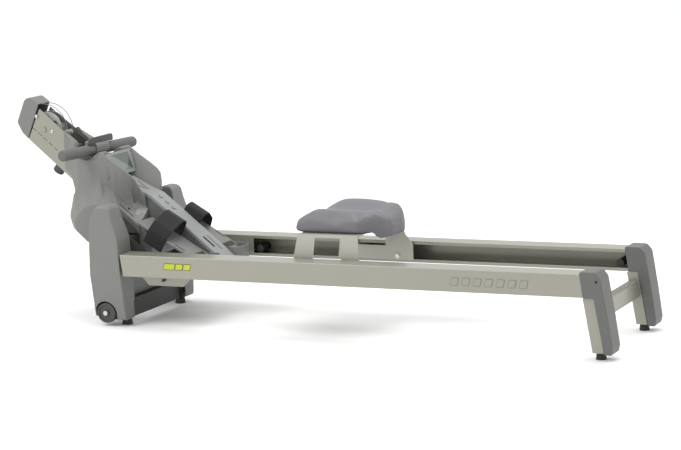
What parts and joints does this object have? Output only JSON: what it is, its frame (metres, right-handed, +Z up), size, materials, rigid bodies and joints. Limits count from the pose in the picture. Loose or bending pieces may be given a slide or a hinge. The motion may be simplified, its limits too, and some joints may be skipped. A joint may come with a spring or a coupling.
{
  "type": "rowing machine",
  "caption": "Folding home rowing machine: inclined tower with strap-pull handle and display, two foot plates, and a padded seat rolling on twin channel rails.",
  "frame": {"origin": "middle of the machine's footprint, on the floor", "axes": "+X from the tower to the rear legs, +Y to the side away from the lock knob, +Z up"},
  "size_m": [2.2684, 0.543, 0.7561],
  "materials": {
    "champagne_metal": "satin champagne-grey metallic paint",
    "dark_steel": "matt dark powder coat",
    "grey_plastic": "fine-textured grey moulding",
    "light_plastic": "smooth lighter grey moulding",
    "dark_plastic": "matt dark grey moulding",
    "display_glass": "grey-green display window",
    "rubber": "matt black rubber",
    "foam": "soft grey foam",
    "webbing": "black woven webbing",
    "belt_rubber": "black ribbed belt",
    "pad_vinyl": "purple-grey moulded foam skin",
    "bright_steel": "zinc-plated steel",
    "pulley_alloy": "pale acetal",
    "cast_iron": "painted casting"
  },
  "bodies": {
    "base": {"base_frame": "dark_steel", "front_feet": "rubber", "pivot_bolts": "bright_steel", "leg_covers": "grey_plastic", "boom_plate_left": "champagne_metal", "boom_plate_right": "champagne_metal", "boom_bolts": "bright_steel", "boom_floor": "champagne_metal", "boom_cap": "grey_plastic", "boom_axles": "bright_steel", "strap_run": "webbing", "strap_guard": "bright_steel", "shaft_bearings": "bright_steel", "drive_belt": "belt_rubber", "brake_magnets": "cast_iron", "recoil_spring": "bright_steel", "shell_left": "grey_plastic", "shell_right": "grey_plastic", "spine_cover": "light_plastic", "spine_bar": "dark_steel", "console": "light_plastic", "display": "display_glass", "handle_rest": "dark_plastic", "pedal_axle": "bright_steel"},
    "castor_right": {"castor_right": "light_plastic"},
    "castor_left": {"castor_left": "light_plastic"},
    "strap_pulley": {"strap_pulley": "pulley_alloy"},
    "guide_roller": {"guide_roller": "pulley_alloy"},
    "drum": {"strap_drum": "pulley_alloy"},
    "drive_pulley": {"drive_pulley": "pulley_alloy", "drum_shaft": "bright_steel"},
    "flywheel": {"flywheel": "cast_iron", "flywheel_shaft": "bright_steel"},
    "resistance_knob": {"resistance_knob": "dark_plastic"},
    "key_mode": {"key_mode": "dark_plastic"},
    "key_set": {"key_set": "dark_plastic"},
    "key_reset": {"key_reset": "dark_plastic"},
    "handle": {"handle_bar": "bright_steel", "grips": "foam", "pull_strap": "webbing"},
    "pedal_right": {"pedal_right": "dark_plastic", "pedal_strap_right": "webbing"},
    "pedal_left": {"pedal_left": "dark_plastic", "pedal_strap_left": "webbing"},
    "rails": {"rail_left": "champagne_metal", "rail_right": "champagne_metal", "rear_covers": "grey_plastic", "fold_plates": "champagne_metal", "rear_frame": "champagne_metal", "rear_feet": "rubber", "cover_screws": "bright_steel", "bumpers": "rubber", "pivot_bushes": "pulley_alloy"},
    "lock_knob": {"lock_knob": "dark_plastic"},
    "seat": {"seat_carriage": "champagne_metal", "pad_board": "dark_plastic", "seat_pad": "pad_vinyl", "seat_axles": "bright_steel"},
    "rollers_front": {"seat_rollers_front": "pulley_alloy"},
    "rollers_rear": {"seat_rollers_rear": "pulley_alloy"}
  },
  "joints": [
    {"name": "rail_fold", "type": "hinge", "parent": "base", "child": "rails", "pos_m": [-0.5647, 0, 0.236], "axis": [0, -1, 0], "range_deg": [0, 84]},
    {"name": "seat_slide", "type": "slide", "parent": "rails", "child": "seat", "axis": [0.9999, 0, 0.0108], "range_m": [-0.19, 0.73]},
    {"name": "seat_rollers_front_turn", "type": "hinge", "parent": "seat", "child": "rollers_front", "pos_m": [0.0536, 0, 0.21166], "axis": [0, 1, 0], "continuous": true},
    {"name": "seat_rollers_rear_turn", "type": "hinge", "parent": "seat", "child": "rollers_rear", "pos_m": [0.22359, 0, 0.2135], "axis": [0, 1, 0], "continuous": true},
    {"name": "handle_pull", "type": "slide", "parent": "base", "child": "handle", "axis": [0.8829, 0, 0.4695], "range_m": [0, 0.85], "deforming": ["pull_strap"]},
    {"name": "strap_pulley_turn", "type": "hinge", "parent": "base", "child": "strap_pulley", "pos_m": [-1.0267, 0, 0.644], "axis": [0, 1, 0], "continuous": true},
    {"name": "guide_roller_turn", "type": "hinge", "parent": "base", "child": "guide_roller", "pos_m": [-0.9329, 0, 0.636], "axis": [0, 1, 0], "continuous": true},
    {"name": "drum_turn", "type": "hinge", "parent": "base", "child": "drum", "pos_m": [-0.8217, 0, 0.455], "axis": [0, 1, 0], "continuous": true},
    {"name": "flywheel_turn", "type": "hinge", "parent": "base", "child": "flywheel", "pos_m": [-0.7747, 0, 0.342], "axis": [0, 1, 0], "continuous": true},
    {"name": "drive_pulley_turn", "type": "hinge", "parent": "base", "child": "drive_pulley", "pos_m": [-0.8217, 0, 0.455], "axis": [0, 1, 0], "continuous": true},
    {"name": "pedal_right_tilt", "type": "hinge", "parent": "base", "child": "pedal_right", "pos_m": [-0.5087, 0, 0.281], "axis": [0, 1, 0], "range_deg": [-8, 12]},
    {"name": "pedal_left_tilt", "type": "hinge", "parent": "base", "child": "pedal_left", "pos_m": [-0.5087, 0, 0.281], "axis": [0, 1, 0], "range_deg": [-8, 12]},
    {"name": "castor_right_roll", "type": "hinge", "parent": "base", "child": "castor_right", "pos_m": [-0.6837, -0.236, 0.047], "axis": [0, 1, 0], "continuous": true},
    {"name": "castor_left_roll", "type": "hinge", "parent": "base", "child": "castor_left", "pos_m": [-0.6837, 0.236, 0.047], "axis": [0, 1, 0], "continuous": true},
    {"name": "resistance_turn", "type": "hinge", "parent": "base", "child": "resistance_knob", "pos_m": [-0.9787, 0, 0.518], "axis": [-0.6292, 0, -0.7772], "range_deg": [0, 270]},
    {"name": "lock_knob_turn", "type": "hinge", "parent": "rails", "child": "lock_knob", "pos_m": [-0.47591, -0.19, 0.16396], "axis": [0, -1, 0], "range_deg": [0, 360]},
    {"name": "key_mode_press", "type": "slide", "parent": "base", "child": "key_mode", "axis": [-0.6139, 0, -0.7894], "range_m": [0, 0.0015], "stiffness_N_per_m": 400},
    {"name": "key_set_press", "type": "slide", "parent": "base", "child": "key_set", "axis": [-0.6139, 0, -0.7894], "range_m": [0, 0.0015], "stiffness_N_per_m": 400},
    {"name": "key_reset_press", "type": "slide", "parent": "base", "child": "key_reset", "axis": [-0.6139, 0, -0.7894], "range_m": [0, 0.0015], "stiffness_N_per_m": 400}
  ],
  "couplings": [
    {"joint": "seat_rollers_front_turn", "follows": "seat_slide", "rad_per_m": 52.632},
    {"joint": "seat_rollers_rear_turn", "follows": "seat_slide", "rad_per_m": 52.632},
    {"joint": "strap_pulley_turn", "follows": "handle_pull", "rad_per_m": 17.065},
    {"joint": "guide_roller_turn", "follows": "handle_pull", "rad_per_m": 92.593},
    {"joint": "drum_turn", "follows": "handle_pull", "rad_per_m": 29.851},
    {"joint": "drive_pulley_turn", "follows": "flywheel_turn", "ratio": 0.32727}
  ]
}
